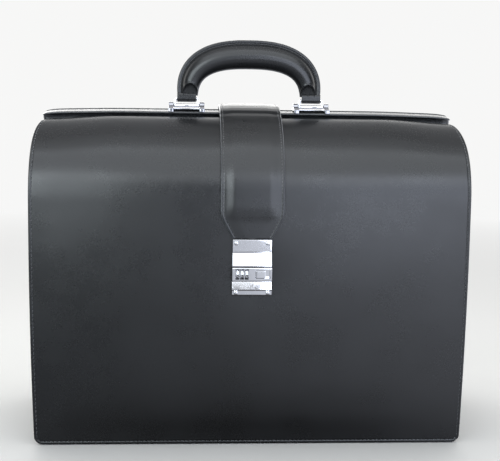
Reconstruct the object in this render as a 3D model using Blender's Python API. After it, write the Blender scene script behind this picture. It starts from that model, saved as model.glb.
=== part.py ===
"""Black leather doctor bag: framed top that opens about end pins, over-strap with hasp,
three-dial lock and a carrying handle on two metal rings.  Metres, +Z up, front is -Y."""
import math

import bmesh
import bpy
from mathutils import Vector
from mathutils.geometry import tessellate_polygon

for old in list(bpy.data.objects):
    bpy.data.objects.remove(old, do_unlink=True)

# ---------------------------------------------------------------- driving sizes
GAP = 0.0003                    # air between neighbouring pieces
HALF_W = 0.220                  # half the bag's width
HALF_D = 0.090                  # half its depth, measured over the leather
LEATHER = 0.003                 # panel thickness, leather on board
BINDING_W = 0.0027              # width of the stitched edge binding
BASE_T = 0.0035                 # base board thickness
FOLD_Z = 0.2475                 # height of the fold between wall and shoulder
PIN_Y = 0.082                   # frame hinge pins, each side of the centre
LIP_Y, LIP_Z = 0.031, 0.331     # where the shoulder meets the frame bar
FRAME_TOP = 0.3395              # top of the leather-covered frame bar
BAR_HALF = 0.215                # half the length of the covered bars
STEEL_HALF = 0.2055             # half the width over the steel arms
ARM_T = 0.0025                  # steel arm thickness
PIN_R = 0.0020
STRAP_HALF, STRAP_T = 0.032, 0.0044
STRAP_END_Z = 0.2138            # lower end of the padded strap
LOCK_HALF = 0.0195              # half the width of the lock plates
LOCK_Z = 0.1781                 # height of the dial axle
DIAL_Y = -0.0959
HANDLE_Y, HANDLE_Z = -0.002, 0.344   # swing axis of the handle rings
RING_X = 0.0665                 # ring centres, each side of the middle
GRIP_A, GRIP_B, GRIP_N = 0.0628, 0.0412, 2.6   # superellipse of the grip's centre line
GRIP_Z0 = 0.3545                # height where the grip's legs begin
FLANGE = 0.0053                 # stitched flange round the outside of the grip


# ---------------------------------------------------------------- materials
def look(name, colour, rough, metal=0.0):
    m = bpy.data.materials.new(name)
    m.use_nodes = True
    p = m.node_tree.nodes["Principled BSDF"]
    p.inputs["Base Color"].default_value = (*colour, 1)
    p.inputs["Roughness"].default_value = rough
    p.inputs["Metallic"].default_value = metal
    return m


def leather(name):
    return look(name, (0.028, 0.030, 0.032), 0.42)


def chrome(name):
    return look(name, (0.80, 0.80, 0.82), 0.12, 1.0)


def steel(name):
    return look(name, (0.46, 0.46, 0.47), 0.34, 1.0)


def lining(name):
    return look(name, (0.10, 0.085, 0.075), 0.85)


# ---------------------------------------------------------------- mesh helpers
def finish(name, verts, faces, paint, pivot=(0, 0, 0), smooth=False):
    """One named object from plain vertices, its origin at pivot."""
    o = Vector(pivot)
    mesh = bpy.data.meshes.new(name)
    mesh.from_pydata([tuple(Vector(v) - o) for v in verts], [], [tuple(f) for f in faces])
    bm = bmesh.new()
    bm.from_mesh(mesh)
    bmesh.ops.recalc_face_normals(bm, faces=bm.faces)
    bm.to_mesh(mesh)
    bm.free()
    mesh.materials.append(paint(name))
    for f in mesh.polygons:
        f.use_smooth = smooth
    ob = bpy.data.objects.new(name, mesh)
    ob.location = o
    bpy.context.scene.collection.objects.link(ob)
    return ob


def solid_x(name, outline, x0, x1, paint, holes=(), pivot=(0, 0, 0), smooth=False):
    """A (y, z) outline with holes, extruded along X."""
    loops = [list(outline)] + [list(h) for h in holes]
    caps = tessellate_polygon([[Vector((0, y, z)) for y, z in loop] for loop in loops])
    ring = [p for loop in loops for p in loop]
    n = len(ring)
    verts = [(x0, y, z) for y, z in ring] + [(x1, y, z) for y, z in ring]
    faces = [tuple(t) for t in caps] + [tuple(i + n for i in t)[::-1] for t in caps]
    start = 0
    for loop in loops:
        k = len(loop)
        for i in range(k):
            a, b = start + i, start + (i + 1) % k
            faces.append((a, b, b + n, a + n))
        start += k
    return finish(name, verts, faces, paint, pivot, smooth)


def box(name, lo, hi, paint, pivot=(0, 0, 0)):
    outline = [(lo[1], lo[2]), (hi[1], lo[2]), (hi[1], hi[2]), (lo[1], hi[2])]
    return solid_x(name, outline, lo[0], hi[0], paint, pivot=pivot)


def circle(y, z, r, n=20, start=0.0):
    return [(y + r * math.cos(start + 2 * math.pi * i / n),
             z + r * math.sin(start + 2 * math.pi * i / n)) for i in range(n)]


def loft(name, rings, paint, closed=False, pivot=(0, 0, 0), smooth=False):
    """Skin through rings of equal length; open ends get caps."""
    n = len(rings[0])
    verts = [p for ring in rings for p in ring]
    faces = []
    count = len(rings)
    for i in range(count if closed else count - 1):
        a, b = i * n, ((i + 1) % count) * n
        for j in range(n):
            k = (j + 1) % n
            faces.append((a + j, a + k, b + k, b + j))
    if not closed:
        for ring, base, flip in ((rings[0], 0, False), (rings[-1], (count - 1) * n, True)):
            tris = tessellate_polygon([[Vector(p) for p in ring]])
            faces += [tuple(base + i for i in (t[::-1] if flip else t)) for t in tris]
    return finish(name, verts, faces, paint, pivot, smooth)


def rod_x(name, y, z, profile, paint, pivot=None, n=16):
    """A round piece along X from (x, radius) pairs."""
    rings = [[(x, y + r * math.cos(2 * math.pi * i / n), z + r * math.sin(2 * math.pi * i / n))
              for i in range(n)] for x, r in profile]
    return loft(name, rings, paint, pivot=pivot or (0, y, z), smooth=True)


def tool(ob):
    ob.hide_render = True
    ob.display_type = "WIRE"
    return ob


def boolean(ob, other, operation):
    """Cut or join with a hidden tool object."""
    m = ob.modifiers.new(operation.lower() + "_" + other.name, "BOOLEAN")
    m.operation = operation
    m.solver = "EXACT"
    m.object = tool(other)
    return ob


# ---------------------------------------------------------------- side profile
def bezier(p0, p1, p2, p3, n):
    out = []
    for i in range(n + 1):
        t = i / n
        u = 1 - t
        out.append(tuple(u ** 3 * a + 3 * u * u * t * b + 3 * u * t * t * c + t ** 3 * d
                         for a, b, c, d in zip(p0, p1, p2, p3)))
    return out


def shoulder_curve(n=14):
    """Outer face of the front shoulder, from the fold up to the lip."""
    return bezier((-HALF_D, 0.2525), (-HALF_D, 0.290), (-0.066, 0.3192), (-LIP_Y - GAP, LIP_Z), n)


def offset(curve, d):
    """Moves a (y, z) curve d towards the inside of the bag."""
    out = []
    for i, (y, z) in enumerate(curve):
        a, b = curve[max(i - 1, 0)], curve[min(i + 1, len(curve) - 1)]
        t = Vector((b[0] - a[0], b[1] - a[1])).normalized()
        out.append((y + t.y * d, z - t.x * d))
    return out


def flip(points, side):
    """The same outline for the front (-1) or the rear (+1)."""
    return [(-y * side, z) for y, z in points]


SHOULDER = shoulder_curve()
SIDES = (("front", -1), ("rear", 1))
ENDS = (("left", -1), ("right", 1))


# ---------------------------------------------------------------- box of the bag
box("base_panel", (-0.217, -0.087, 0.0), (0.217, 0.087, BASE_T), leather)

outer = [(-HALF_W, -0.0903), (HALF_W, -0.0903), (HALF_W, 0.0903), (-HALF_W, 0.0903)]
inner = [(-0.2173, -0.0873), (0.2173, -0.0873), (0.2173, 0.0873), (-0.2173, 0.0873)]
low, high = 0.0003, 0.0042
verts = [(x, y, z) for z in (low, high) for loop in (outer, inner) for x, y in loop]
faces = []
for i in range(4):
    j = (i + 1) % 4
    faces += [(i, j, 4 + j, 4 + i), (8 + i, 8 + j, 12 + j, 12 + i),
              (i, j, 8 + j, 8 + i), (4 + i, 4 + j, 12 + j, 12 + i)]
finish("base_welt", verts, faces, leather)

for name, s in SIDES:
    panel = box(f"{name}_panel", (-0.217, min(s * HALF_D, s * (HALF_D - LEATHER)), 0.0045),
                (0.217, max(s * HALF_D, s * (HALF_D - LEATHER)), FOLD_Z - 0.0005), leather)
    if s < 0:
        boolean(panel, box("cut_lock_hole", (-0.0165, -0.100, 0.1600), (0.0186, -0.080, 0.1950),
                           steel), "DIFFERENCE")
    box(f"{name}_lining", (-0.2115, min(s * 0.0866, s * 0.0854), 0.0045),
        (0.2115, max(s * 0.0866, s * 0.0854), 0.2410), lining)
    for end, e in ENDS:
        x0, x1 = sorted((e * (HALF_W - BINDING_W), e * HALF_W))
        lo, hi = sorted((s * (HALF_D + 0.0008), s * (HALF_D - LEATHER - 0.0006)))
        box(f"{name}_{end}_binding", (x0, lo, 0.0045), (x1, hi, FOLD_Z - 0.0010), leather)


def gusset_edge(z):
    """Half the depth between the panels at height z, with a little air."""
    inside = offset(SHOULDER, LEATHER + 0.0012)
    if z <= inside[0][1]:
        return HALF_D - LEATHER - 0.0008
    for (y0, z0), (y1, z1) in zip(inside, inside[1:]):
        if z0 <= z <= z1:
            return -(y0 + (y1 - y0) * (z - z0) / (z1 - z0))
    return -inside[-1][0]


for end, e in ENDS:
    rings = []
    heights = [0.0045, 0.12, 0.2450, 0.262, 0.274, 0.285, 0.295, 0.303, 0.310, 0.3155]
    for z in heights:
        half, fold = gusset_edge(z), 0.0068 * min(z / 0.25, 1)
        xo, t = 0.2168, 0.0016
        rings.append([(e * xo, -half, z), (e * (xo - fold), 0, z), (e * xo, half, z),
                      (e * (xo - t), half, z), (e * (xo - fold - t), 0, z),
                      (e * (xo - t), -half, z)])
    loft(f"{end}_gusset", rings, leather)
    x0, x1 = sorted((e * 0.2002, e * 0.2022))
    stay = [(-0.0862, 0.2425), (0.0862, 0.2425), (0.0862, 0.2516), (-0.0862, 0.2516)]
    solid_x(f"{end}_stay", stay, x0, x1, steel,
            holes=[circle(-PIN_Y, FOLD_Z, PIN_R + 0.00012), circle(PIN_Y, FOLD_Z, PIN_R + 0.00012)])
    for name, s in SIDES:
        prof = [(0.1986, 0.0032), (0.1999, 0.0032), (0.1999, PIN_R), (0.2058, PIN_R),
                (0.2058, 0.0030), (0.2068, 0.0030)]
        rod_x(f"{name}_{end}_pin", s * PIN_Y, FOLD_Z, [(e * x, r) for x, r in prof], steel, n=20)


# ---------------------------------------------------------------- opening halves
def hinge_at(s):
    return (0, s * PIN_Y, FOLD_Z)


for name, s in SIDES:
    inside = [(min(y, -LIP_Y - GAP), z) for y, z in offset(SHOULDER, LEATHER)]
    skin = SHOULDER + inside[::-1]
    skin = skin[:-1] + [(-HALF_D + LEATHER, 0.2508)]
    solid_x(f"{name}_shoulder", flip(skin, s), -0.217, 0.217, leather, pivot=hinge_at(s))
    edge = [(y, z) for y, z in offset(SHOULDER, -0.0008) if z > 0.2540]
    back = [(y, z) for y, z in offset(SHOULDER, LEATHER + 0.0006) if z > 0.2540]
    for end, e in ENDS:
        x0, x1 = sorted((e * (HALF_W - BINDING_W), e * HALF_W))
        solid_x(f"{name}_{end}_shoulder_binding", flip(edge + back[::-1], s), x0, x1, leather,
                pivot=hinge_at(s))
    # steel U frame: a bar under the cover and an arm down each end to its pin
    rim = [(y, z) for y, z in offset(SHOULDER, 0.0046) if z < 0.3238]
    keel = [(y, z) for y, z in offset(SHOULDER, 0.0114) if z < 0.3184 and y < -0.030]
    toe = [(-PIN_Y + 0.0035 * math.cos(a), FOLD_Z + 0.0035 * math.sin(a))
           for a in [-math.pi * k / 8 for k in range(1, 8)]]
    arm = rim + [(-0.0120, 0.3241), (-0.0120, 0.3189)] + keel[::-1] + toe
    bar = box(f"{name}_frame", (-STEEL_HALF, -0.0277 if s < 0 else 0.0113, 0.3187),
              (STEEL_HALF, -0.0113 if s < 0 else 0.0277, 0.3243), steel, pivot=hinge_at(s))
    for end, e in ENDS:
        x0, x1 = sorted((e * (STEEL_HALF - ARM_T), e * (STEEL_HALF + 0.0001)))
        piece = solid_x(f"tool_{name}_{end}_arm", flip(arm, s), x0, x1, steel,
                        holes=[circle(s * PIN_Y, FOLD_Z, PIN_R + 0.00012)])
        boolean(bar, piece, "UNION")

front_cap = [(-0.0306, 0.3250), (-0.0306, 0.3309), (-0.0290, 0.3315), (-0.0098, 0.3315),
             (-0.0085, 0.3306), (-0.0085, 0.3250)]
solid_x("front_bar_cover", front_cap, -BAR_HALF, BAR_HALF, leather, pivot=hinge_at(-1))
rear_cap = [(-0.0078, 0.3250), (-0.0078, 0.3360), (-0.0140, 0.3364), (-0.0146, 0.3371),
            (-0.0146, 0.3381), (-0.0139, 0.3390), (-0.0126, FRAME_TOP), (0.0176, FRAME_TOP),
            (0.0190, 0.3390), (0.0200, 0.3380), (0.0204, 0.3340), (0.0225, 0.3318),
            (0.0306, 0.3311), (0.0306, 0.3250)]
solid_x("rear_bar_cover", rear_cap, -BAR_HALF, BAR_HALF, leather, pivot=hinge_at(1))


# ---------------------------------------------------------------- strap
def ribbon(name, path, widths, thick, paint, pivot):
    """A strap whose inner face follows path, with its half width at each point."""
    outside = offset(path, -thick)
    rings = []
    for (yi, zi), (yo, zo), w in zip(path, outside, widths):
        rings.append([(-w, yi, zi), (w, yi, zi), (w, yo, zo), (-w, yo, zo)])
    return loft(name, rings, paint, pivot=pivot)


TOP_IN = FRAME_TOP + 0.0005
LIFT_Y, LIFT_Z = 0.0224, TOP_IN + STRAP_T          # bend line at the rear of the bar
FLAP_Y = -0.0142                                   # bend line at the front of the bar
bridge = [(-0.0139, TOP_IN), (0.0, TOP_IN), (0.0206, TOP_IN)]
ribbon("strap_bridge", bridge, [STRAP_HALF] * 3, STRAP_T, leather, (0, LIFT_Y, LIFT_Z))

anchor_low = [(-y, z) for y, z in offset(SHOULDER, -0.0011)[::-1] if z < 0.3285][:9]
anchor = [(0.0242, TOP_IN), (0.0290, 0.3380), (0.0345, 0.3338)] + anchor_low
anchor_w = [STRAP_HALF] * (len(anchor) - 2) + [0.029, 0.018]
ribbon("strap_anchor", anchor, anchor_w, STRAP_T, leather, hinge_at(1))

over = bezier((-0.0145, TOP_IN), (-0.0215, TOP_IN), (-0.0290, 0.3362), (-0.0380, 0.3316), 5)
down = [(y, z) for y, z in offset(SHOULDER, -0.0011)[::-1] if y < -0.0430]
wall = -HALF_D - 0.0012
tail = [(wall, 0.2450), (wall, 0.2358), (wall, STRAP_END_Z)]
flap = [(y, z) for y, z in over] + down + tail
flap_w = [STRAP_HALF] * (len(flap) - 1) + [0.0200]
strap = ribbon("strap_flap", flap[::-1], flap_w[::-1], STRAP_T, leather,
               (0, FLAP_Y, TOP_IN + STRAP_T))
# thin tongue that runs on behind the hasp plate
tongue = box("tool_tongue", (-0.0180, wall - 0.0016, 0.1988), (0.0180, wall, STRAP_END_Z + 0.004),
             leather)
boolean(strap, tongue, "UNION")

# ---------------------------------------------------------------- lock
PLATE_BACK = wall - 0.0019
hasp_shape = [(PLATE_BACK, 0.1854), (PLATE_BACK - 0.0064, 0.1854), (PLATE_BACK - 0.0068, 0.1862),
              (PLATE_BACK - 0.0026, 0.1992), (PLATE_BACK - 0.0026, 0.2122), (PLATE_BACK, 0.2122)]
flap_pivot = (0, FLAP_Y, TOP_IN + STRAP_T)
hasp = solid_x("hasp_plate", hasp_shape, -LOCK_HALF, LOCK_HALF, chrome, pivot=flap_pivot)
boolean(hasp, box("cut_hasp_panel", (-0.0182, -0.1100, 0.2002), (0.0182, PLATE_BACK - 0.0017, 0.2111),
                  chrome), "DIFFERENCE")


def stud(name, x, z, y_face, y_in, head, shank, paint, pivot):
    """A rivet along Y: a domed head outside y_face and a shank in to y_in."""
    prof = [(y_face - 0.0011, head * 0.55), (y_face - 0.0007, head), (y_face - 0.00005, head),
            (y_face - 0.00005, shank), (y_in, shank)]
    n = 12
    rings = [[(x + r * math.cos(2 * math.pi * i / n), y, z + r * math.sin(2 * math.pi * i / n))
              for i in range(n)] for y, r in prof]
    return loft(name, rings, paint, pivot=pivot, smooth=True)


def bore_y(name, x, z, r, y0, y1, n=12):
    rings = [[(x + r * math.cos(2 * math.pi * i / n), y, z + r * math.sin(2 * math.pi * i / n))
              for i in range(n)] for y in (y0, y1)]
    return loft(name, rings, steel)


for end, e in ENDS:
    x = e * 0.0158
    boolean(hasp, bore_y(f"cut_hasp_{end}", x, 0.2085, 0.00115, -0.11, -0.08), "DIFFERENCE")
    boolean(strap, bore_y(f"cut_tongue_{end}", x, 0.2085, 0.00115, -0.0950, -0.08), "DIFFERENCE")
    stud(f"hasp_rivet_{end}", x, 0.2085, PLATE_BACK - 0.0018, wall - 0.0004, 0.0020, 0.0010,
         chrome, flap_pivot)
peg = [(PLATE_BACK - 0.0010, 0.0016), (-0.0886, 0.0016), (-0.0880, 0.0011)]
rings = [[(r * math.cos(2 * math.pi * i / 12), y, 0.1905 + r * math.sin(2 * math.pi * i / 12))
          for i in range(12)] for y, r in peg]
boolean(hasp, loft("tool_peg", rings, chrome), "UNION")

CASE_BACK = -HALF_D - GAP
RIM_Y = -0.0978                 # face of the case's bottom rim
case_shape = [(CASE_BACK, 0.1562), (RIM_Y + 0.0008, 0.1562), (RIM_Y, 0.1570), (RIM_Y, 0.1614),
              (-0.0990, 0.1621), (-0.0965, 0.1705), (-0.1000, 0.1713), (-0.1000, 0.1838),
              (-0.0992, 0.1846), (CASE_BACK - 0.0022, 0.1846), (CASE_BACK - 0.0022, 0.1966),
              (CASE_BACK, 0.1966)]
case = solid_x("lock_case", case_shape, -LOCK_HALF - 0.0003, LOCK_HALF + 0.0003, chrome)
DIALS = (-0.0146, -0.0100, -0.0054)
for i, x in enumerate(DIALS):
    boolean(case, box(f"cut_dial_{i + 1}", (x - 0.0020, -0.1050, LOCK_Z - 0.0054),
                      (x + 0.0020, -0.0850, LOCK_Z + 0.0054), chrome), "DIFFERENCE")
boolean(case, rod_x("cut_axle", DIAL_Y, LOCK_Z, [(-0.0210, 0.00112), (-0.0012, 0.00112)], steel),
        "DIFFERENCE")
boolean(case, box("cut_window", (0.0032, -0.1050, 0.1737), (0.0182, -0.0933, 0.1817), chrome),
        "DIFFERENCE")
boolean(case, box("cut_stem", (0.0060, -0.0950, 0.1757), (0.0162, -0.0850, 0.1797), chrome),
        "DIFFERENCE")
boolean(case, box("cut_peg", (-0.0028, -0.0960, 0.1878), (0.0028, -0.0850, 0.1945), chrome),
        "DIFFERENCE")
for end, e in ENDS:
    x = e * 0.0160
    boolean(case, bore_y(f"cut_case_{end}", x, 0.1591, 0.00115, -0.11, -0.08), "DIFFERENCE")
    boolean(bpy.data.objects["front_panel"],
            bore_y(f"cut_panel_{end}", x, 0.1591, 0.00125, -0.0950, -0.0840), "DIFFERENCE")
    stud(f"case_rivet_{end}", x, 0.1591, RIM_Y, -0.0875, 0.0020, 0.0010, chrome, (0, 0, 0))
rod_x("dial_axle", DIAL_Y, LOCK_Z, [(-0.0197, 0.0010), (-0.0014, 0.0010)], steel)
for i, x in enumerate(DIALS):
    rim = []
    for k in range(40):
        a = 2 * math.pi * k / 40
        r = 0.0049 if k % 4 < 2 else 0.0046
        rim.append((DIAL_Y + r * math.cos(a), LOCK_Z + r * math.sin(a)))
    solid_x(f"dial_{i + 1}", rim, x - 0.0017, x + 0.0017, chrome,
            holes=[circle(DIAL_Y, LOCK_Z, 0.00112, 16)], pivot=(x, DIAL_Y, LOCK_Z))

button = box("slide_button", (0.0037, -0.1006, 0.1742), (0.0137, -0.0937, 0.1812), chrome,
             pivot=(0.0087, -0.0970, 0.1777))
boolean(button, box("tool_stem", (0.0070, -0.0945, 0.1762), (0.0108, -0.0902, 0.1792), chrome),
        "UNION")
bolt_shape = [(-0.0105, 0.1755), (0.0118, 0.1755), (0.0118, 0.1800), (0.0060, 0.1800),
              (0.0050, 0.1935), (-0.0105, 0.1935)]
y0, y1 = -0.0899, -0.0886
verts = [(x, y, z) for y in (y0, y1) for x, z in bolt_shape]
k = len(bolt_shape)
faces = [tuple(range(k)), tuple(range(2 * k - 1, k - 1, -1))]
faces += [(i, (i + 1) % k, (i + 1) % k + k, i + k) for i in range(k)]
bolt = finish("lock_bolt", verts, faces, steel, pivot=(0.0087, -0.0970, 0.1777))
boolean(bolt, box("cut_bolt", (-0.0073, -0.0950, 0.1880), (0.0025, -0.0850, 0.1990), steel),
        "DIFFERENCE")
turns, per = 4, 10
rings = []
for i in range(turns * per + 1):
    a = 2 * math.pi * i / per
    cx = 0.0125 + 0.0054 * i / (turns * per)
    c = Vector((cx, -0.0885 + 0.0011 * math.cos(a), LOCK_Z + 0.0011 * math.sin(a)))
    out = Vector((0, math.cos(a), math.sin(a)))
    rings.append([tuple(c + 0.00025 * (math.cos(b) * out + math.sin(b) * Vector((1, 0, 0))))
                  for b in [2 * math.pi * j / 5 for j in range(5)]])
loft("lock_spring", rings, steel, smooth=True)
box("lock_back_plate", (-0.0215, -0.0851, 0.1540), (0.0215, -0.0839, 0.2000), steel)

# ---------------------------------------------------------------- handle
swing = (0, HANDLE_Y, HANDLE_Z)
for end, e in ENDS:
    cx = e * RING_X
    base = box(f"handle_mount_{end}", (cx - 0.0186, -0.0110, FRAME_TOP + 0.0004),
               (cx + 0.0186, 0.0080, FRAME_TOP + 0.0015), chrome, pivot=(cx, HANDLE_Y, FRAME_TOP))
    lug = [(-0.0162, 0.3368), (-0.0149, 0.3368), (-0.0149, FRAME_TOP + 0.0003),
           (0.0085, FRAME_TOP + 0.0003), (0.0085, FRAME_TOP + 0.0017)]
    lug += [(HANDLE_Y + 0.0036 * math.cos(a), HANDLE_Z + 0.0036 * math.sin(a))
            for a in [math.pi * k / 8 for k in range(0, 9)]]
    lug += [(-0.0120, FRAME_TOP + 0.0024), (-0.0162, FRAME_TOP + 0.0012)]
    for i, dx in enumerate((-0.0164, 0.0164)):
        ear = solid_x(f"tool_lug_{end}_{i}", lug, cx + dx - 0.0026, cx + dx + 0.0026, chrome,
                      holes=[circle(HANDLE_Y, HANDLE_Z, 0.00164, 20)])
        boolean(base, ear, "UNION")
    # ring: a rounded wire loop, its lower bar a thick barrel with a pivot at each end
    wide, tall, r = 0.0120, 0.0074, 0.0014
    corner, path = 0.0022, []
    for qx, qz, a0 in ((1, 1, 0), (-1, 1, 90), (-1, 0, 180), (1, 0, 270)):
        ox = qx * (wide - corner)
        oz = (tall - corner) if qz else corner
        for step in range(4):
            a = math.radians(a0 + 30 * step)
            path.append((ox + corner * math.cos(a), oz + corner * math.sin(a)))
    rings = []
    for i, (px, pz) in enumerate(path):
        qx, qz = path[(i + 1) % len(path)]
        bx, bz = path[i - 1]
        t = Vector((qx - bx, 0, qz - bz)).normalized()
        out = Vector((t.z, 0, -t.x))
        c = Vector((cx + px, HANDLE_Y, HANDLE_Z + pz))
        rings.append([tuple(c + r * (math.cos(b) * out + math.sin(b) * Vector((0, 1, 0))))
                      for b in [2 * math.pi * j / 8 for j in range(8)]])
    ring = loft(f"handle_ring_{end}", rings, chrome, closed=True, pivot=(cx, HANDLE_Y, HANDLE_Z),
                smooth=True)
    boolean(ring, rod_x(f"tool_barrel_{end}", HANDLE_Y, HANDLE_Z, [
        (cx - 0.0186, 0.0015), (cx - 0.0134, 0.0015), (cx - 0.0134, 0.0022), (cx + 0.0134, 0.0022),
        (cx + 0.0134, 0.0015), (cx + 0.0186, 0.0015)], chrome), "UNION")
    # folded leather tab round the ring's upper bar
    tx, tz = e * 0.0655, HANDLE_Z + tall
    tab = [(HANDLE_Y + 0.0037 * math.cos(a), tz + 0.0037 * math.sin(a))
           for a in [math.pi + math.pi * k / 10 for k in range(11)]]
    tab += [(HANDLE_Y + 0.0037, GRIP_Z0 - 0.0003), (HANDLE_Y - 0.0037, GRIP_Z0 - 0.0003)]
    lo, hi = sorted((cx - 0.0102, cx + 0.0102))
    solid_x(f"handle_tab_{end}", tab, lo, hi, leather, holes=[circle(HANDLE_Y, tz, 0.0018, 12)],
            pivot=(tx, HANDLE_Y, HANDLE_Z))


def grip_frames(n=26):
    """(centre, outward direction, share of the way up) along the grip's centre line."""
    pts = []
    for i in range(n + 1):
        a = math.pi * i / n
        c, s = math.cos(a), math.sin(a)
        x = -GRIP_A * math.copysign(abs(c) ** (2 / GRIP_N), c)
        pts.append(Vector((x, HANDLE_Y, GRIP_Z0 + GRIP_B * s ** (2 / GRIP_N) if s > 1e-9 else
                           GRIP_Z0)))
    out = []
    for i, p in enumerate(pts):
        a, b = pts[max(i - 1, 0)], pts[min(i + 1, n)]
        t = (b - a).normalized()
        if i in (0, n):
            t = Vector((0, 0, 1 if i == 0 else -1))
        out.append((p, Vector((-t.z, 0, t.x)), (p.z - GRIP_Z0) / GRIP_B))
    return out


across = Vector((0, 1, 0))
rings, core = [], []
for p, out, up in grip_frames():
    r = 0.0083 + 0.0044 * up
    a0 = math.asin(0.0019 / r)
    ring = [p + out * (r + FLANGE) + across * 0.0016]
    ring += [p + r * (math.cos(b) * out + math.sin(b) * across)
             for b in [a0 + (2 * math.pi - 2 * a0) * k / 15 for k in range(16)]]
    ring += [p + out * (r + FLANGE) - across * 0.0016]
    rings.append([tuple(v) for v in ring])
    core.append([tuple(p + 0.0050 * (math.cos(b) * out + math.sin(b) * across))
                 for b in [2 * math.pi * k / 10 for k in range(10)]])
n = len(rings[0])
m = len(core[0])
verts, faces = [], []
bore = [[tuple(p + 0.0055 * (math.cos(b) * out + math.sin(b) * across))
         for b in [2 * math.pi * k / 10 for k in range(10)]] for p, out, up in grip_frames()]
verts = [v for ring in rings for v in ring] + [v for ring in bore for v in ring]
shift = len(rings) * n
for i in range(len(rings) - 1):
    for j in range(n):
        faces.append((i * n + j, i * n + (j + 1) % n, (i + 1) * n + (j + 1) % n, (i + 1) * n + j))
    for j in range(m):
        a, b = shift + i * m, shift + (i + 1) * m
        faces.append((a + j, b + j, b + (j + 1) % m, a + (j + 1) % m))
for i in (0, len(rings) - 1):
    tris = tessellate_polygon([[Vector(v) for v in rings[i]], [Vector(v) for v in bore[i]]])
    index = [i * n + j for j in range(n)] + [shift + i * m + j for j in range(m)]
    faces += [tuple(index[q] for q in t) for t in tris]
finish("handle_grip", verts, faces, leather, pivot=swing, smooth=True)
loft("handle_core", core, lining, pivot=swing, smooth=True)
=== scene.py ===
"""Looks of the black leather doctor bag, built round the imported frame.  Metres, +Z up."""

import math

import bmesh
import bpy
import numpy as np
from mathutils import Matrix, Vector
from mathutils.geometry import tessellate_polygon


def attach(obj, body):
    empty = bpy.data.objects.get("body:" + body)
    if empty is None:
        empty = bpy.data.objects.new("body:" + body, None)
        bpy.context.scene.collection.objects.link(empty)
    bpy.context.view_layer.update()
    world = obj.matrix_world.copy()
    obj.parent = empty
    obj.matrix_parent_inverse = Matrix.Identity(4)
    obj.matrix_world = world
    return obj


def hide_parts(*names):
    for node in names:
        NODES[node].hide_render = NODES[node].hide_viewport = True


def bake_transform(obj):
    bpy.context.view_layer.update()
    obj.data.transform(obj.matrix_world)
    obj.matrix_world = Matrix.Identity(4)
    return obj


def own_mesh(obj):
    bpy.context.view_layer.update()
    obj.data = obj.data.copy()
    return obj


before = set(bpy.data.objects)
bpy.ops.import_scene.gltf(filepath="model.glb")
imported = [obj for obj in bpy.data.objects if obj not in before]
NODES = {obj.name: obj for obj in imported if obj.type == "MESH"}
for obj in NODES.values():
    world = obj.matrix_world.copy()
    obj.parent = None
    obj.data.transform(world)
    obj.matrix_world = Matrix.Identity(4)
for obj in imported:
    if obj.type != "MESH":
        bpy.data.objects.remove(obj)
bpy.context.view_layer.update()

# ---- sizes, as in the CAD
HALF_W, HALF_D, SKIN = 0.220, 0.090, 0.0029     # the bag's half sizes, and its leather
LIP_Y = 0.031                                   # where the shoulder meets the frame
LOCK_Z, DIAL_Y = 0.1781, -0.0959                # the dials' axle
DIAL_XS = (-0.0146, -0.0100, -0.0054)
SWING_Y, SWING_Z = -0.002, 0.344                # the handle's axis
GRIP_A, GRIP_B, GRIP_N, GRIP_Z0 = 0.0628, 0.0412, 2.6, 0.3545       # superellipse of the roll
RING_X = 0.0665
SIDES = (("front", -1), ("rear", 1))
ENDS = (("left", -1), ("right", 1))


# ---- shader helpers
class Nodes:
    """A small wrapper that keeps node trees short to write."""

    def __init__(self, tree):
        self.tree = tree

    def node(self, kind, **props):
        n = self.tree.nodes.new(kind)
        for key, value in props.items():
            setattr(n, key, value)
        return n

    def link(self, a, b):
        self.tree.links.new(a, b)

    def spread(self, value, lo, hi, a=0.0, b=1.0):
        """Maps a value from the range a to b onto lo to hi."""
        n = self.node("ShaderNodeMapRange")
        for i, v in enumerate((a, b, lo, hi)):
            n.inputs[i + 1].default_value = v
        self.link(value, n.inputs[0])
        return n.outputs[0]

    def maths(self, op, a, b):
        n = self.node("ShaderNodeMath", operation=op)
        for i, v in enumerate((a, b)):
            if isinstance(v, (int, float)):
                n.inputs[i].default_value = v
            else:
                self.link(v, n.inputs[i])
        return n.outputs[0]

    def mix(self, fac, a, b):
        n = self.node("ShaderNodeMix", data_type="RGBA")
        for i, v in ((0, fac), (6, a), (7, b)):
            if isinstance(v, tuple):
                n.inputs[i].default_value = (*v, 1)
            elif isinstance(v, (int, float)):
                n.inputs[i].default_value = v
            else:
                self.link(v, n.inputs[i])
        return n.outputs[2]

    def split(self, vector):
        n = self.node("ShaderNodeSeparateXYZ")
        self.link(vector, n.inputs[0])
        return n.outputs

    def is_camera_ray(self):
        return self.node("ShaderNodeLightPath").outputs["Is Camera Ray"]


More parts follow.
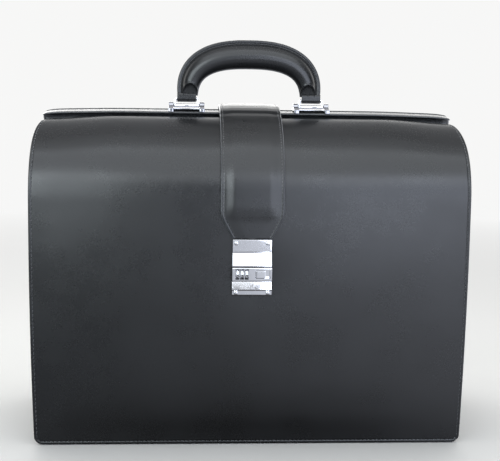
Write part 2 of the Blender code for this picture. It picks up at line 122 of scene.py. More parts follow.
class Paint(Nodes):
    """A material: a Principled shader, and textures in object coordinates."""

    def __init__(self, name):
        self.mat = bpy.data.materials.new(name)
        self.mat.use_nodes = True
        super().__init__(self.mat.node_tree)
        self.bsdf = self.tree.nodes["Principled BSDF"]
        self.coord = self.node("ShaderNodeTexCoord").outputs["Object"]

    def put(self, socket, value):
        """Sets one of the shader's inputs to a number or to another node's output."""
        if isinstance(value, (int, float)):
            self.bsdf.inputs[socket].default_value = value
        else:
            self.link(value, self.bsdf.inputs[socket])

    def texture(self, n, at=None, **inputs):
        for key, value in inputs.items():
            n.inputs[key].default_value = value
        self.link(at or self.coord, n.inputs["Vector"])
        return n.outputs

    def noise(self, scale, detail=3.0, rough=0.5, at=None):
        n = self.node("ShaderNodeTexNoise")
        return self.texture(n, at, Scale=scale, Detail=detail, Roughness=rough)["Fac"]

    def cells(self, scale, feature="F1", at=None):
        n = self.node("ShaderNodeTexVoronoi", feature=feature)
        return self.texture(n, at, Scale=scale)["Distance"]

    def bump(self, height, distance, strength=1.0, before=None):
        n = self.node("ShaderNodeBump")
        n.inputs["Distance"].default_value = distance
        n.inputs["Strength"].default_value = strength
        self.link(height, n.inputs["Height"])
        if before is not None:
            self.link(before, n.inputs["Normal"])
        return n.outputs["Normal"]

    def stretched(self, scale):
        m = self.node("ShaderNodeMapping")
        m.inputs["Scale"].default_value = scale
        self.link(self.coord, m.inputs["Vector"])
        return m.outputs["Vector"]


def leather(name, dark, light, rough=(0.25, 0.32), grain=1.0, sheen=0.0, coat=0.12):
    """Smooth box calf: fine pores, faint creases, slow changes of tone and gloss."""
    p = Paint(name)
    cloud = p.noise(9.0, 4.0, 0.55)
    fine = p.noise(420.0, 3.0, 0.6)
    tone = p.mix(p.spread(cloud, 0.0, 1.0, 0.35, 0.65), dark, light)
    tone = p.mix(p.spread(fine, 0.0, 0.35, 0.45, 0.75), tone, tuple(c * 0.55 for c in dark))
    p.put("Base Color", tone)
    gloss = p.maths("ADD", p.spread(p.noise(16.0, 4.0, 0.6), rough[0], rough[1], 0.35, 0.65),
                    p.spread(fine, -0.015, 0.025, 0.3, 0.7))
    p.put("Roughness", gloss)
    pores = p.cells(900.0)
    crease = p.cells(330.0, "DISTANCE_TO_EDGE", at=p.stretched((1.0, 1.0, 0.8)))
    height = p.maths("ADD", p.maths("MULTIPLY", p.spread(pores, 0.0, 1.0, 0.0, 0.5), 0.4),
                     p.maths("MULTIPLY", p.spread(crease, 0.0, 1.0, 0.0, 0.12), 0.6))
    normal = p.bump(p.noise(34.0, 2.0, 0.4), 0.0006, 0.25 * grain)
    normal = p.bump(height, 0.00010, 0.17 * grain, before=normal)
    p.put("Normal", normal)
    p.put("Specular IOR Level", 0.55)
    p.put("Coat Weight", coat)
    p.put("Coat Roughness", 0.28)
    p.put("Sheen Weight", sheen)
    p.put("Sheen Roughness", 0.45)
    return p.mat


def chrome(name, tint=(0.86, 0.86, 0.88), rough=(0.035, 0.10), brushed=False):
    """Plated metal with faint wipe marks and a few dull spots."""
    p = Paint(name)
    marks = p.noise(60.0, 5.0, 0.65, at=p.stretched((1.0, 1.0, 14.0)) if brushed else None)
    spots = p.noise(700.0, 2.0, 0.5)
    dull = p.maths("ADD", p.spread(marks, rough[0], rough[1], 0.35, 0.7),
                   p.spread(spots, 0.0, 0.08, 0.62, 0.75))
    p.put("Roughness", dull)
    tone = p.mix(p.spread(marks, 0.0, 1.0, 0.3, 0.7), tint, tuple(c * 0.86 for c in tint))
    p.put("Base Color", tone)
    p.put("Normal", p.bump(marks, 0.00004, 0.25))
    p.put("Metallic", 1.0)
    return p.mat


def cloth(name, warp, weft):
    """Plain woven lining."""
    p = Paint(name)
    waves = []
    for axis in ("X", "Z"):
        n = p.node("ShaderNodeTexWave", bands_direction=axis)
        waves.append(p.texture(n, Scale=450.0, Distortion=0.6)["Fac"])
    weave = p.maths("MAXIMUM", waves[0], waves[1])
    tone = p.mix(weave, warp, weft)
    tone = p.mix(p.spread(p.noise(30.0), 0.0, 0.4, 0.4, 0.7), tone, tuple(c * 0.7 for c in warp))
    p.put("Base Color", tone)
    p.put("Roughness", p.spread(weave, 0.75, 0.9))
    p.put("Normal", p.bump(weave, 0.00015, 0.5))
    p.put("Sheen Weight", 0.25)
    return p.mat


CALF = leather("calf_black", (0.0030, 0.0033, 0.0037), (0.0046, 0.0050, 0.0056))
# painted highlight: a much lighter leather for the strap's edge strip, standing in for the light its
# rounded edges catch
STRAP_EDGE_HIGHLIGHT = leather("calf_painted_edge_highlight", (0.050, 0.053, 0.058), (0.085, 0.089, 0.096),
                 rough=(0.28, 0.36), grain=0.3)
STRAP_CALF = leather("calf_strap", (0.0034, 0.0037, 0.0041), (0.0050, 0.0054, 0.0060), grain=0.6)
EDGE = leather("edge_paint", (0.012, 0.012, 0.013), (0.022, 0.022, 0.024), rough=(0.38, 0.5),
               grain=0.5)
BAR = leather("calf_bar", (0.018, 0.019, 0.020), (0.028, 0.029, 0.031), rough=(0.22, 0.32), grain=0.6,
              coat=0.3)
THREAD = leather("thread", (0.030, 0.032, 0.035), (0.070, 0.073, 0.078), rough=(0.4, 0.5), grain=0.3,
                 sheen=0.3, coat=0.0)
SUEDE = leather("calf_rough", (0.0040, 0.0042, 0.0046), (0.0070, 0.0072, 0.0076), rough=(0.75, 0.85),
                grain=2.5, coat=0.0)
LINING = cloth("lining_cloth", (0.055, 0.047, 0.040), (0.095, 0.083, 0.070))
CHROME = chrome("chrome")
# rougher chrome for the handle mounts; its tint is darkened as painted shade, so their reflections
# render dimmer
DIMMED_DULL_CHROME = chrome("chrome_dull_dimmed", (0.42, 0.42, 0.45), (0.14, 0.24))
DARK_FILL = chrome("dark_fill", (0.10, 0.10, 0.11), (0.35, 0.5))
NICKEL = chrome("nickel_satin", (0.56, 0.56, 0.57), (0.24, 0.36), brushed=True)


# ---- mesh helpers
def add_object(name, data):
    ob = bpy.data.objects.new(name, data)
    bpy.context.scene.collection.objects.link(ob)
    return ob


def make(name, shape, mats, body=None, replaces=()):
    """One piece from a shape: vertices, faces, and each face's index in the list mats."""
    verts, faces, which = shape
    mesh = bpy.data.meshes.new(name)
    mesh.from_pydata([tuple(v) for v in verts], [], [tuple(f) for f in faces])
    bm = bmesh.new()
    bm.from_mesh(mesh)
    bmesh.ops.recalc_face_normals(bm, faces=bm.faces)
    bm.to_mesh(mesh)
    bm.free()
    for m in mats:
        mesh.materials.append(m)
    for f, index in zip(mesh.polygons, which):
        f.use_smooth = True
        f.material_index = index
    ob = add_object(name, mesh)
    if body:
        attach(ob, body)
    if replaces:
        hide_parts(*replaces)
    return ob


def skin_rings(rings, closed=False):
    """A shape with quads through rings of points, capped unless the rings close up."""
    n, count = len(rings[0]), len(rings)
    verts = [tuple(p) for ring in rings for p in ring]
    faces = []
    for i in range(count if closed else count - 1):
        a, b = i * n, ((i + 1) % count) * n
        for j in range(n):
            k = (j + 1) % n
            faces.append((a + j, a + k, b + k, b + j))
    if not closed:
        for ring, base in ((rings[0], 0), (rings[-1], (count - 1) * n)):
            for t in tessellate_polygon([[Vector(p) for p in ring]]):
                faces.append(tuple(base + i for i in t))
    return verts, faces, [0] * len(faces)


def turns(n):
    """n angles round a full circle."""
    return [2 * math.pi * j / n for j in range(n)]


def mirrored(prof):
    """A profile of (x, radius) pairs, with its other half."""
    return prof + [(-x, r) for x, r in prof[::-1]]


def smoothstep(x):
    """0 to 1 with a soft start and end."""
    x = np.clip(x, 0.0, 1.0)
    return x * x * (3 - 2 * x)


def ease(x):
    """smoothstep of one number."""
    return float(smoothstep(x))


def bezier(p0, p1, p2, p3, n):
    out = []
    for i in range(n + 1):
        t = i / n
        u = 1 - t
        out.append(tuple(u ** 3 * a + 3 * u * u * t * b + 3 * u * t * t * c + t ** 3 * d
                         for a, b, c, d in zip(p0, p1, p2, p3)))
    return out


def distances(points):
    """Distance of each point along the line through them all."""
    return np.concatenate([[0], np.cumsum(np.linalg.norm(np.diff(points, axis=0), axis=1))])


def along(at, distance, values):
    """Rows of values read at a distance along a line, or at an array of them."""
    return np.stack([np.interp(at, distance, column) for column in values.T], -1)


class Track:
    """A (y, z) curve read by arc length, with its outward normal left (1) or right (-1)."""

    def __init__(self, points, hand=1):
        p = np.array(points, float)
        s = distances(p)
        self.length = s[-1]
        fine = np.linspace(0, s[-1], 1200)
        q = along(fine, s, p)
        for _ in range(6):
            q[1:-1] = (q[:-2] + 2 * q[1:-1] + q[2:]) / 4
        t = np.gradient(q, axis=0)
        t /= np.linalg.norm(t, axis=1)[:, None]
        self.s, self.q, self.n = fine, q, hand * np.stack([-t[:, 1], t[:, 0]], 1)

    def at(self, s):
        s = np.clip(s, 0, self.length)
        p, n = along(s, self.s, self.q), along(s, self.s, self.n)
        return p, n / np.linalg.norm(n, axis=-1)[..., None]

    def find(self, y):
        """Arc length where the curve first reaches a depth."""
        return float(self.s[int(np.argmax(self.q[:, 0] >= y))])


def graded(length, fine, coarse, near):
    """Positions from 0 to length, close together near both ends."""
    out = [0.0]
    while out[-1] < length / 2:
        d = out[-1]
        step = fine + (coarse - fine) * ease((d - near) / (near * 3))
        out.append(d + step)
    half = np.array(out) * (length / 2 / out[-1])
    return np.concatenate([half, (length - half)[::-1][1:]])


def rounded(r, d):
    """How far a surface drops at distance d from a rounded edge of radius r."""
    d = np.clip(d, 0, r)
    return r - np.sqrt(np.maximum(r * r - (r - d) ** 2, 0))


WALL_THREAD = (0.0043, 0.0034)                      # pitch and length of a stitch
FINE_THREAD = (0.0036, 0.0028, 0.0005, 0.0003)      # with its width and height
TAB_THREAD = (0.0024, 0.0019, 0.0004, 0.00025)


def stitch_run(points, normals, pitch, length, width=0.00055, height=0.00035, lean=0.12):
    """Thread stitches along a line: short rounded beads, each with its ends sunk in."""
    p, n = np.array(points, float), np.array(normals, float)
    s = distances(p)
    count = max(int(s[-1] / pitch), 1)
    verts, faces = [], []
    for k in range(count):
        mid = (k + 0.5) * s[-1] / count
        c, up = along(mid, s, p), along(mid, s, n)
        a = along(min(mid + 0.4 * length, s[-1]), s, p)
        t = a - c
        t /= np.linalg.norm(t)
        up -= t * up.dot(t)
        up /= np.linalg.norm(up)
        side = np.cross(t, up)
        t = t * math.cos(lean) + side * math.sin(lean)
        side = np.cross(t, up)
        base = len(verts)
        for u, w, h in ((-1.0, 0.45, -0.6), (-0.62, 0.95, 0.55), (0, 1, 1), (0.62, 0.95, 0.55),
                        (1.0, 0.45, -0.6)):
            for q in range(6):
                b = 2 * math.pi * q / 6
                verts.append(c + t * u * length / 2 + side * math.cos(b) * w * width / 2
                             + up * (math.sin(b) * w * width / 2 + h * height - 0.0001))
        for i in range(4):
            for q in range(6):
                r = (q + 1) % 6
                faces.append((base + i * 6 + q, base + i * 6 + r, base + i * 6 + 6 + r,
                              base + i * 6 + 6 + q))
        faces.append(tuple(base + q for q in range(6)))
        faces.append(tuple(base + 24 + q for q in range(6))[::-1])
    return verts, faces


def slab_faces(n, m):
    """Faces of two grids of n by m points, back to back, and of the rim between them."""
    faces, which, base = [], [], n * m
    for i in range(m - 1):
        for j in range(n - 1):
            a = i * n + j
            faces.append((a, a + 1, a + n + 1, a + n))
            faces.append((base + a, base + a + n, base + a + n + 1, base + a + 1))
            which += [0, 1]
    rim = (list(range(n)) + [i * n + n - 1 for i in range(1, m)]
           + [(m - 1) * n + j for j in range(n - 2, -1, -1)] + [i * n for i in range(m - 2, 0, -1)])
    for a, b in zip(rim, rim[1:] + rim[:1]):
        faces.append((a, b, base + b, base + a))
        which.append(2)
    return faces, which


def join(shape, more, index):
    """Adds another shape's vertices and faces, all with one material index."""
    verts, faces, which = shape
    base = len(verts)
    return ([*verts, *more[0]], faces + [tuple(base + i for i in f) for f in more[1]],
            which + [index] * len(more[1]))


def refine(node, body, width, mat=NICKEL):
    """A copy of a CAD piece with its flat faces cleaned, its edges eased and a real finish."""
    mesh = NODES[node].evaluated_get(bpy.context.evaluated_depsgraph_get()).to_mesh().copy()
    bm = bmesh.new()
    bm.from_mesh(mesh)
    bmesh.ops.remove_doubles(bm, verts=bm.verts, dist=2e-6)
    bmesh.ops.recalc_face_normals(bm, faces=bm.faces)
    for f in bm.faces:
        f.smooth = False
    sharp = [x for x in bm.edges if len(x.link_faces) == 2 and x.calc_face_angle(0) > 0.5]
    if width:
        done = bmesh.ops.bevel(bm, geom=sharp, offset=width, offset_type="OFFSET",
                               segments=3, profile=0.5, affect="EDGES",
                               clamp_overlap=False)
        for f in done["faces"]:
            f.smooth = True
    for x in bm.edges:
        if len(x.link_faces) == 2 and 0.01 < x.calc_face_angle(0) < 0.5:
            for f in x.link_faces:
                if f.calc_area() < 2e-5:
                    f.smooth = True
    bm.to_mesh(mesh)
    bm.free()
    mesh.materials.clear()
    mesh.materials.append(mat)
    ob = add_object(node + "_finished", mesh)
    ob.matrix_world = NODES[node].matrix_world
    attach(ob, body)
    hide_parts(node)
    return ob


# ---- side profile
def shoulder(n=40):
    return bezier((-HALF_D, 0.2525), (-HALF_D, 0.290), (-0.066, 0.3192), (-LIP_Y - 0.0003, 0.3306),
                  n)


LIP = {
    "front": [(-0.0275, 0.3316), (-0.0230, 0.3321), (-0.0160, 0.3321), (-0.0118, 0.3317),
              (-0.0092, 0.3304), (-0.0084, 0.3284), (-0.0084, 0.3258)],
    "rear": [(-0.0285, 0.3314), (-0.0255, 0.3318), (-0.0234, 0.3313), (-0.0223, 0.3297),
             (-0.0220, 0.3266)],
}
WALL = [(-HALF_D, 0.0004), (-HALF_D, 0.10), (-HALF_D, 0.20)]
CORNER_LOW, EDGE_R, LINE_IN = 0.0085, 0.0013, 0.0032
TUCK, TUCK_RUN = 0.0095, 0.047          # how far the lip's ends draw in, and over what length
SAG = 0.0040                            # how far the lip drops at its ends


def bow(z):
    """Width factor at height z: 1.7 mm wider a side above the middle, and narrower at the floor."""
    low = 0.0017 - 0.0034 * ((z - 0.2) / 0.2) ** 2
    high = 0.0017 - 0.0010 * ((z - 0.2) / 0.13) ** 2
    return 1 + np.where(z < 0.2, low, high) / HALF_W


def settle(v):
    """Bows a shell's ends, and lets its top corners drop."""
    v = np.array(v, float)
    drop = SAG * smoothstep((np.abs(v[:, 0]) - 0.135) / 0.085) * smoothstep((v[:, 2] - 0.285) / 0.04)
    v[:, 0] *= bow(v[:, 2])
    v[:, 2] -= drop
    return v


def crown(x, s):
    """The wall's slight swell, drawn in round the lock, and the slow waves of the leather."""
    across = 1 - np.abs(x / HALF_W) ** 3
    up = np.minimum(1 - (1 - np.clip(s / 0.065, 0, 1)) ** 2,
                    np.cos(np.pi / 2 * np.clip((s - 0.12) / 0.15, 0, 1)))
    waves = (0.00022 * np.sin(21 * x + 9 * s + 0.4) * np.sin(17 * s - 5 * x + 1.1)
             + 0.00012 * np.sin(47 * x - 31 * s + 2.0) * np.sin(39 * s + 13 * x))
    dent = 1 - 0.7 * np.exp(-(x ** 2 + (s - 0.176) ** 2) / 0.032 ** 2)
    return (0.0020 * across * up + waves * np.clip(across * 3, 0, 1)) * dent


def build_wall(name, side):
    """Front or rear leather: wall, shoulder and lip in one bent sheet with turned edges."""
    track = Track(WALL + shoulder() + LIP[name])
    xs = graded(2 * HALF_W, 0.00045, 0.0075, 0.0048) - HALF_W
    ss = graded(track.length, 0.00055, 0.0050, 0.0048)
    crest = track.find(-0.0290)

    def narrow(s):
        """Width factor of the sheet, which draws in towards its lip."""
        u = np.clip((s - (crest - TUCK_RUN)) / (TUCK_RUN + 0.006), 0, 1)
        return 1 - TUCK / HALF_W * (1 - np.sqrt(1 - u * u))

    # the sheet starts a little later where its low corners are round
    past = np.clip(np.abs(xs) - (HALF_W - CORNER_LOW), 0, CORNER_LOW)
    low = (CORNER_LOW - np.sqrt(np.maximum(CORNER_LOW ** 2 - past * past, 0)))[:, None]
    S = ss + low * np.clip(1 - ss / ss[-1] / 0.12, 0, 1)
    X = np.repeat(xs[:, None], len(ss), 1)
    D = np.minimum(np.minimum((HALF_W - np.abs(X)) * narrow(S), S - low), track.length - S)
    swell, turned = crown(X, S) * smoothstep(D / 0.03), rounded(EDGE_R, D)
    groove = 0.00038 * np.exp(-((D - LINE_IN) / 0.00055) ** 2) * (S < track.length - 0.012)
    p, n = track.at(S)
    skins = []
    for off in (swell - turned - groove, swell - SKIN + turned):
        yz = p + n * off[..., None]
        skins.append(np.stack([X * narrow(S), yz[..., 0], yz[..., 1]], -1).reshape(-1, 3))
    shape = (np.concatenate(skins), *slab_faces(len(ss), len(xs)))
    # stitching up both sides and along the bottom, following the rounded corners
    r = CORNER_LOW - LINE_IN
    line = [(-HALF_W + LINE_IN, s) for s in np.linspace(crest - 0.004, CORNER_LOW, 160)]
    for a in np.linspace(0, math.pi / 2, 10)[1:]:
        line.append((-HALF_W + CORNER_LOW - r * math.cos(a), CORNER_LOW - r * math.sin(a)))
    line += [(x, LINE_IN) for x in np.linspace(-HALF_W + CORNER_LOW, HALF_W - CORNER_LOW, 160)[1:]]
    line += [(-x, s) for x, s in line[:169][::-1]][1:]
    line = np.array(line)
    p, n = track.at(line[:, 1])
    pts = np.stack([line[:, 0] * narrow(line[:, 1]), p[:, 0] - n[:, 0] * 0.0002,
                    p[:, 1] - n[:, 1] * 0.0002], 1)
    nrm = np.stack([0 * line[:, 0], n[:, 0], n[:, 1]], 1)
    verts, faces, which = join(shape, stitch_run(pts, nrm, *WALL_THREAD), 3)
    verts = settle(verts)
    verts[:, 1] *= -side
    ob = make(f"{name}_leather", (verts, faces, which), [CALF, CALF, EDGE, THREAD])
    for end in ("left", "right"):
        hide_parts(f"{name}_{end}_binding", f"{name}_{end}_shoulder_binding")
    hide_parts(f"{name}_panel", f"{name}_shoulder")
    if name == "front":
        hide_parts("front_bar_cover")
    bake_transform(ob)


for name, side in SIDES:
    build_wall(name, side)


# ---- gussets, base and linings
INSIDE = Track(WALL + shoulder())


def leaf_half(z):
    """Half the depth between the wall sheets at height z."""
    p, n = INSIDE.at(np.linspace(0, INSIDE.length, 400))
    q = p - n * (SKIN + 0.0004)
    return float(-np.interp(z, q[:, 1], q[:, 0]))


def build_gusset(end, e):
    """Side leather with its soft inward fold, one leaf for each half of the frame."""
    foot, top_z, across = 0.0020, 0.3160, 19
    r = CORNER_LOW - foot
    levels = [(foot + r - r * math.cos(a), r - r * math.sin(a))
              for a in np.linspace(0, math.pi / 2, 8)[:-1]]
    levels += [(CORNER_LOW + h * (top_z - CORNER_LOW), 0.0) for h in np.linspace(0, 1, 46)]
    rows = []
    for z, pull in levels:
        half = leaf_half(z)
        deep = 0.0068 * min(z / 0.16, 1.0) + 0.0012 * math.sin(z * 40)
        if z > 0.27:
            deep += 0.004 * ((z - 0.27) / 0.045) ** 2
        top = 0.004 * max(0.0, (z - 0.285) / 0.03)
        rows.append((z, half, deep, pull + top))
    for name, side in SIDES:
        outer, inner = [], []
        for z, half, deep, pull in rows:
            for t in np.linspace(0, 1, across):
                y = half * t
                fold = deep * (math.sqrt((1 - t) ** 2 + 0.0016) - 0.04)
                puff = 0.0011 * math.sin(math.pi * t) ** 2 * min(z / 0.1, 1)
                x = HALF_W - 0.0036 - fold - pull + puff
                x += 0.0002 * math.sin(60 * z + 9 * t) * math.sin(math.pi * t)
                outer.append((e * x, side * y, z))
                inner.append((e * (x - 0.0015), side * y, z))
        verts = np.concatenate([outer, inner])
        verts[:, 0] *= bow(verts[:, 2])
        ob = make(f"{end}_gusset_{name}_leaf", (verts, *slab_faces(across, len(rows))),
                  [CALF, LINING, EDGE])
        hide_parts(f"{end}_gusset")
        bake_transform(ob)


for end, e in ENDS:
    build_gusset(end, e)


def plan_ring(hx, hy, r, z, inset):
    """A rounded rectangle in plan, as points at one height."""
    pts, rr = [], max(r - inset, 0.0005)
    for qx, qy, a0 in ((1, 1, 0), (-1, 1, 90), (-1, -1, 180), (1, -1, 270)):
        for k in range(9):
            a = math.radians(a0 + 90 * k / 8)
            pts.append((qx * (hx - r) + rr * math.cos(a), qy * (hy - r) + rr * math.sin(a), z))
    return pts


def build_base():
    """Base board with its turned leather edge, and the thin welt the walls stand on."""
    hx, hy = 0.2122, 0.0896
    prof = [(0.0060, 0.0), (0.0022, 0.0), (0.0009, 0.0003), (0.0002, 0.0010), (0.0, 0.0020),
            (0.0003, 0.0031), (0.0010, 0.0038), (0.0030, 0.0041), (0.0060, 0.0041)]
    rings = [plan_ring(hx, hy, 0.0085, z, inset) for inset, z in prof]
    make("base_leather", skin_rings(rings), [EDGE], "box", ("base_panel", "base_welt"))


build_base()


def build_lining(name, side):
    """The cloth that covers a wall's inner board, with its turned top hem."""
    hx, z0, z1 = 0.2105, 0.0050, 0.2405
    xs = graded(2 * hx, 0.0006, 0.007, 0.004) - hx
    zs = graded(z1 - z0, 0.0006, 0.006, 0.004) + z0
    grid, back = [], []
    for x in xs:
        for z in zs:
            d = min(hx - abs(x), z - z0, z1 - z)
            wave = 0.00018 * math.sin(25 * x + 11 * z) * math.sin(19 * z + 1.3)
            hem = 0.00022 * math.exp(-((z1 - 0.010 - z) / 0.0012) ** 2)
            y = 0.0854 + float(rounded(0.0006, d)) + wave * min(d / 0.02, 1) + hem
            grid.append((x, side * y, z))
            back.append((x, side * 0.0865, z))
    ob = make(f"{name}_lining_cloth", (grid + back, *slab_faces(len(zs), len(xs))), [LINING] * 3,
              "box", (f"{name}_lining",))


for name, side in SIDES:
    build_lining(name, side)


# ---- leather-covered frame bar
def build_bar():
    """Rolled front edge, a seam, then the ridge of the rear half; ends drawn round."""
    prof = [(-0.0078, 0.3255), (-0.0078, 0.3300), (-0.0080, 0.3340), (-0.0092, 0.3351),
            (-0.0118, 0.3348), (-0.0138, 0.3348), (-0.0150, 0.3351), (-0.0156, 0.3357),
            (-0.0157, 0.3364), (-0.0152, 0.3369), (-0.0140, 0.3373), (-0.0110, 0.3379),
            (-0.0060, 0.3389), (-0.0024, 0.3394), (-0.0016, 0.3394), (-0.0013, 0.3398),
            (-0.0009, 0.3403), (0.0002, 0.3405), (0.0060, 0.3405), (0.0120, 0.3403),
            (0.0176, 0.3396), (0.0192, 0.3391), (0.0202, 0.3380), (0.0206, 0.3362),
            (0.0206, 0.3335), (0.0207, 0.3290), (0.0207, 0.3255), (0.0100, 0.3252)]
    half, nose = 0.2180, 0.0052
    tip = nose * (1 - np.cos(np.linspace(0, math.pi / 2, 9)))
    xs = np.concatenate([tip - half, np.linspace(-half + 0.008, half - 0.008, 110),
                         (half - tip)[::-1]])
    rings = []
    for x in xs:
        u = max(0.0, (abs(x) - (half - nose)) / nose)
        k = math.sqrt(max(1 - u * u, 0.012))
        pinch = 1 - 0.30 * max(0.0, (abs(x) - (half - 0.016)) / 0.016) ** 2
        drop = (0.0016 * ease((abs(x) - 0.13) / 0.09)
                + 0.0012 * max(0.0, (abs(x) - (half - 0.030)) / 0.030) ** 2)
        ring = []
        for y, z in prof:
            ring.append((x, 0.0025 + (y - 0.0025) * (0.25 + 0.75 * k),
                         0.3345 + (z - 0.3345) * k * pinch - drop))
        rings.append(ring)
    make("frame_bar_leather", skin_rings(rings), [BAR], "rear_half", ("rear_bar_cover",))


build_bar()


# ---- strap
PATH = Track([(0.0700, 0.3040), (0.0620, 0.3120), (0.0520, 0.3215), (0.0430, 0.3290),
              (0.0350, 0.3347), (0.0290, 0.3388), (0.0235, 0.3411), (0.0160, 0.3422),
              (0.0080, 0.3424), (-0.0020, 0.3418), (-0.0110, 0.3402), (-0.0200, 0.3380),
              (-0.0265, 0.3358), (-0.0315, 0.3326), (-0.0380, 0.3298)]
             + [(p[0] + n[0] * 0.0011, p[1] + n[1] * 0.0011)
                for p, n in zip(*INSIDE.at(np.linspace(INSIDE.find(-0.0440), 0.262, 30)))]
             + [(-HALF_D - 0.0014, 0.2450), (-HALF_D - 0.0018, 0.2358),
                (-HALF_D - 0.0018, 0.2135)], hand=-1)


STRAP_THIN, STRAP_SEAM = 0.0036, 0.0030          # thickness at the edge, stitching from it
HIGHLIGHT_STRIP_WIDTH = 0.0011                               # width of the edge strip painted lighter as a highlight


def strap_offset(d, full):
    """Height of the strap's face above its back at distance d from the edge."""
    up = STRAP_THIN + (full - STRAP_THIN) * smoothstep((d - 0.0036) / 0.0115)
    groove = 0.00022 * np.exp(-((d - STRAP_SEAM) / 0.0005) ** 2)
    return up - rounded(0.0014, d) - groove


def build_strap(name, s0, s1, nodes, fine_end=False):
    """A padded length of strap with turned edges and a painted highlight strip along them; its back
    lies on the track.
    """
    ss = np.linspace(s0, s1, int((s1 - s0) / 0.0011))
    if fine_end:
        ss = np.concatenate([ss[:-8], np.linspace(ss[-8], s1, 22)])
    rings, brim = [], []
    lat = graded(2.0, 0.014, 0.07, 0.22) - 1.0
    for s in ss:
        p, n = PATH.at(np.array(s))
        w, ends = strap_width(s)
        x = lat * w
        d = np.minimum(w - np.abs(x), ends)
        h = strap_offset(d, strap_full(s, p[1]))
        top = [(xx, p[0] + n[0] * hh, p[1] + n[1] * hh) for xx, hh in zip(x, h)]
        low = [(xx, p[0] + n[0] * r, p[1] + n[1] * r)
               for xx, r in zip(x, rounded(0.0006, d))][::-1]
        rings.append(top + low)
        brim += [v < HIGHLIGHT_STRIP_WIDTH for v in d] + [j in (0, len(d) - 1) for j in range(len(d))]
    verts, faces, which = skin_rings(rings)
    sides = (len(rings) - 1) * len(rings[0])
    # faces in the edge strip get the lighter leather, a painted highlight
    which = [2 if k < sides and all(brim[i] for i in f) else 0 for k, f in enumerate(faces)]
    shape = (verts, faces, which)
    for run in strap_lines(s0, s1):
        pts, nrm = [], []
        for x, s in run:
            p, n = PATH.at(np.array(s))
            up = STRAP_THIN - 0.0002
            pts.append((x, p[0] + n[0] * up, p[1] + n[1] * up))
            nrm.append((0, n[0], n[1]))
        shape = join(shape, stitch_run(pts, nrm, *FINE_THREAD), 1)
    ob = make(name, shape, [STRAP_CALF, THREAD, STRAP_EDGE_HIGHLIGHT])
    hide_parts(*nodes)
    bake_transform(ob)


S_TAPER = PATH.length - 0.0222          # where the strap starts to narrow


def strap_full(s, z):
    """Height of the padded middle: flatter over the frame and where the strap narrows."""
    over = ease((z - 0.325) / 0.012)
    tail = ease((s - S_TAPER + 0.012) / 0.020)
    return 0.0050 - 0.0008 * over - 0.0012 * tail


def strap_width(s):
    """(half width, distance to the nearest cut end) at arc length s."""
    full, thin, r, far = 0.0320, 0.0200, 0.012, 1.0
    soft = 0.0006 * math.exp(-((s - S_TAPER) / 0.003) ** 2)
    if s > S_TAPER:
        t = (s - S_TAPER) / (PATH.length - S_TAPER)
        return full + (thin - full) * t - soft, far
    if s < r:
        return full - r + math.sqrt(max(r * r - (r - s) ** 2, 1e-7)), max(s, 1e-4)
    return full - soft, s if s < 0.03 else far


def strap_lines(s0, s1):
    """Stitch lines 3 mm inside the strap's outline, between two arc lengths."""
    runs = []
    for sign in (-1, 1):
        run = []
        for s in np.linspace(max(s0, 0.0125), s1, max(int((s1 - s0) / 0.002), 4)):
            w, _ = strap_width(s)
            lean = 0.0006 if s > S_TAPER else 0.0
            run.append((sign * (w - STRAP_SEAM - lean), s))
        runs.append(run)
    if s0 < 0.001:
        arc = [(-0.0290 + 0.009 * (1 - math.cos(a)), 0.0120 - 0.009 * math.sin(a))
               for a in np.linspace(0, math.pi / 2, 8)]
        run = arc + [(x, STRAP_SEAM) for x in np.linspace(-0.019, 0.019, 12)]
        run += [(-x, s) for x, s in arc[::-1]]
        runs.append(run)
        runs.append([(x, 0.0240) for x in np.linspace(-0.028, 0.028, 12)])
    return runs


def s_at(y):
    """Arc length where the strap passes over depth y on top of the bar."""
    flat = (PATH.q[:, 1] > 0.3370)
    i = int(np.argmin(np.where(flat, np.abs(PATH.q[:, 0] - y), 9)))
    return float(PATH.s[i])


MIDDLE = s_at(0.0040)
build_strap("strap_rear_leather", 0.0, MIDDLE, ("strap_anchor", "strap_bridge"))
build_strap("strap_front_leather", MIDDLE, PATH.length, ("strap_flap", "strap_bridge"),
            fine_end=True)


# ---- handle
ACROSS = Vector((0, 1, 0))


def grip_frames(n):
    """(centre, outward direction, share of the way up, distance from the nearer end)."""
    pts = []
    for i in range(n + 1):
        a = math.pi * i / n
        a -= 0.09 * math.sin(2 * a)
        c, s = math.cos(a), max(math.sin(a), 0.0)
        x = -GRIP_A * math.copysign(abs(c) ** (2 / GRIP_N), c)
        pts.append(Vector((x, SWING_Y, GRIP_Z0 + GRIP_B * s ** (2 / GRIP_N))))
    run = [0.0]
    for a, b in zip(pts, pts[1:]):
        run.append(run[-1] + (b - a).length)
    total, end, fine = run[-1], 0.018, []
    want = np.concatenate([np.linspace(0, end, 46)[:-1], np.linspace(end, total - end, 110),
                           np.linspace(total - end, total, 46)[1:]])
    P = np.array([tuple(p) for p in pts])
    Q = along(want, run, P)
    for _ in range(2):
        Q[1:-1] = (Q[:-2] + 2 * Q[1:-1] + Q[2:]) / 4
    for i, w in enumerate(want):
        t = Vector(Q[min(i + 1, len(Q) - 1)] - Q[max(i - 1, 0)]).normalized()
        if i in (0, len(Q) - 1):
            t = Vector((0, 0, 1 if i == 0 else -1))
        p = Vector(Q[i])
        fine.append((p, Vector((-t.z, 0, t.x)), (p.z - GRIP_Z0) / GRIP_B, min(w, total - w)))
    return fine


FLANGE_H, FLANGE_T = 0.0053, 0.0017


